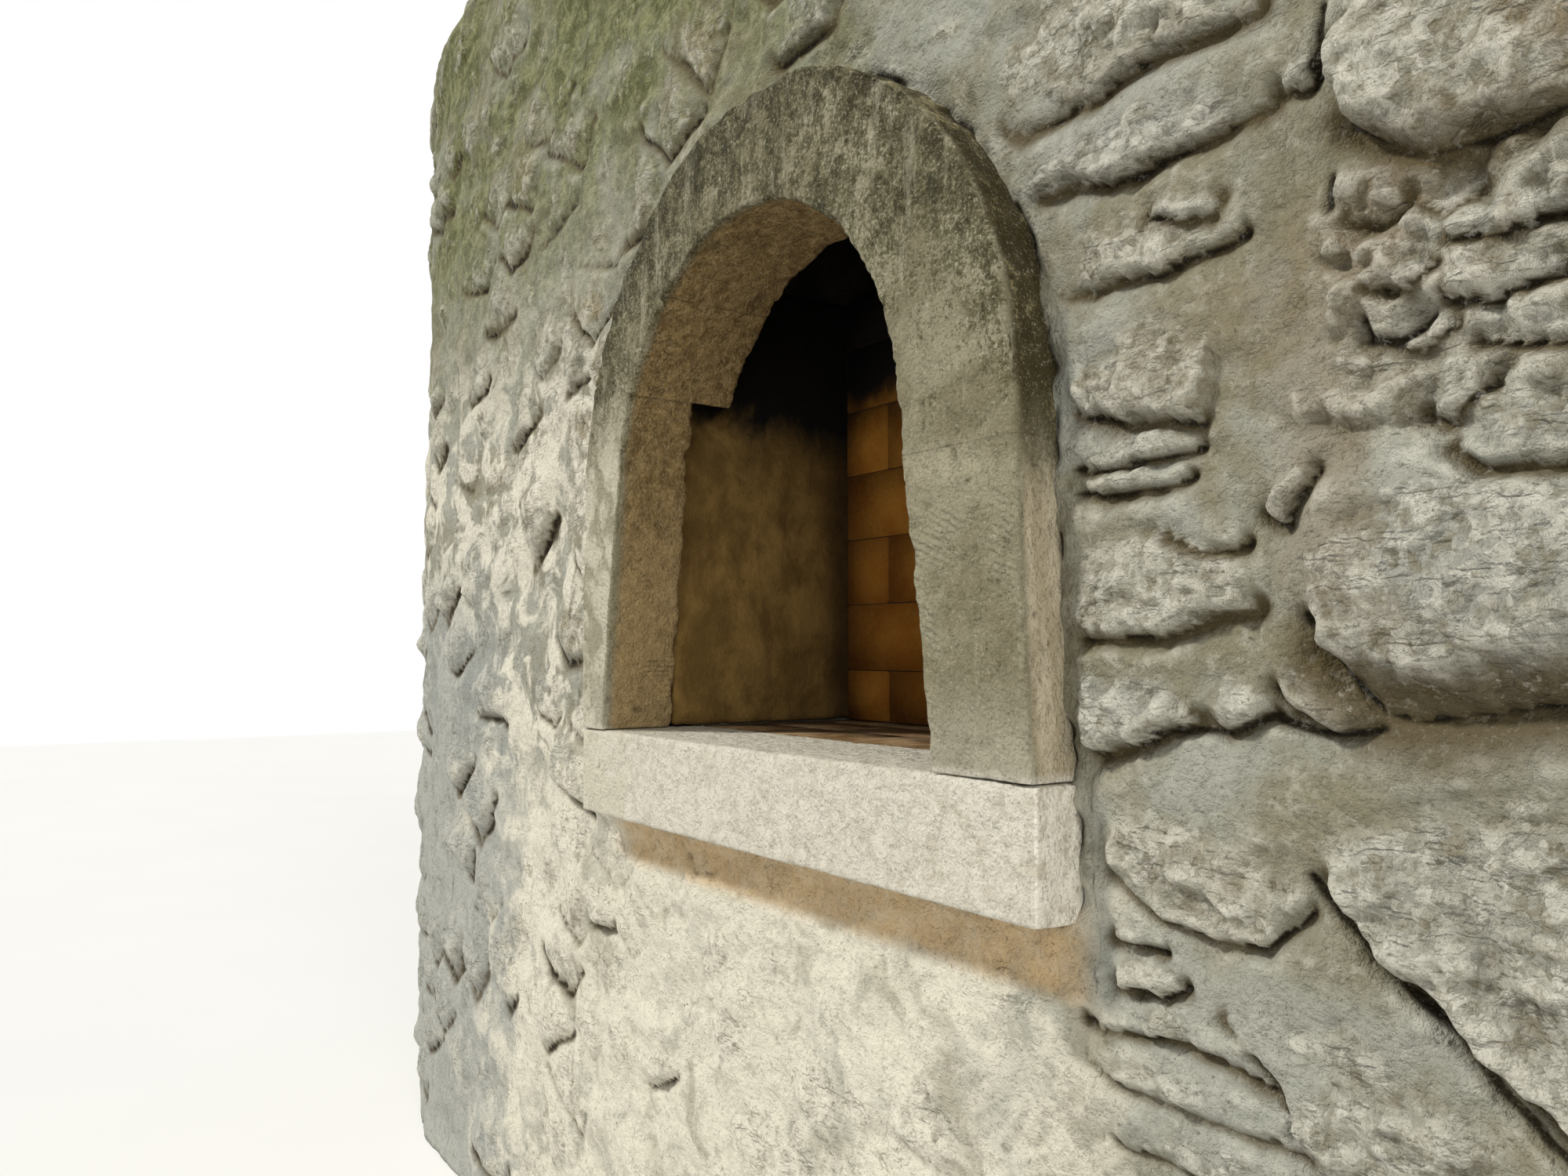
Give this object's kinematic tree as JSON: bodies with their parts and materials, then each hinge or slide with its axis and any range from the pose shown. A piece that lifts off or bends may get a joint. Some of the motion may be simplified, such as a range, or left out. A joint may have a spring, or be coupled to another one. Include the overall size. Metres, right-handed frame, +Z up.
{
  "type": "arched stone hearth in a free-standing rubble wall",
  "caption": "Thick free-standing limewashed rubble wall with rounded ends and leaning shoulders, holding a small round-arched dressed-stone hearth with a firebrick back and a flue.",
  "frame": {"origin": "on the ground under the middle of the whole block; x = 0 is the centre line of the arch's outer curve", "axes": "+Z up, the arched mouth faces -Y, +X to the right of someone facing the mouth"},
  "size_m": [4.56, 1.462, 3.05],
  "materials": {
    "rubble": "rough limewashed rubble in lime mortar",
    "kerb_stone": "rough limestone kerb, sooty inside",
    "dressed_stone": "chisel-dressed limestone with lichen",
    "plaster": "smoked and stained lime plaster",
    "hearth_brick": "firebrick laid flat, sooty",
    "firebrick": "yellow-buff firebrick on edge with thin dark joints",
    "soot": "soot-blackened masonry"
  },
  "bodies": {
    "root": {"left_end_base": "rubble", "left_base": "rubble", "hearth_base": "rubble", "right_base": "rubble", "right_end_base": "rubble", "left_end_wall": "rubble", "left_wall": "rubble", "right_wall": "rubble", "right_end_wall": "rubble", "left_front_wall": "rubble", "right_front_wall": "rubble", "left_cheek": "rubble", "right_cheek": "rubble", "back_wall": "rubble", "smoke_shelf_wall": "rubble", "left_spandrel": "rubble", "right_spandrel": "rubble", "hearth_bed": "rubble", "left_end_shoulder": "rubble", "left_shoulder": "rubble", "front_shoulder": "rubble", "back_shoulder": "rubble", "right_shoulder": "rubble", "right_end_shoulder": "rubble", "flue_kerb_front": "kerb_stone", "flue_kerb_back": "kerb_stone", "flue_kerb_left": "kerb_stone", "flue_kerb_right": "kerb_stone", "sill": "dressed_stone", "left_jamb": "dressed_stone", "right_jamb": "dressed_stone", "left_springer": "dressed_stone", "left_voussoir": "dressed_stone", "crown_stone": "dressed_stone", "right_arch_stone": "dressed_stone", "left_lining": "plaster", "right_lining": "plaster", "hearth_slab": "hearth_brick", "firebrick_back": "firebrick", "left_gather": "soot", "right_gather": "soot"}
  },
  "joints": []
}
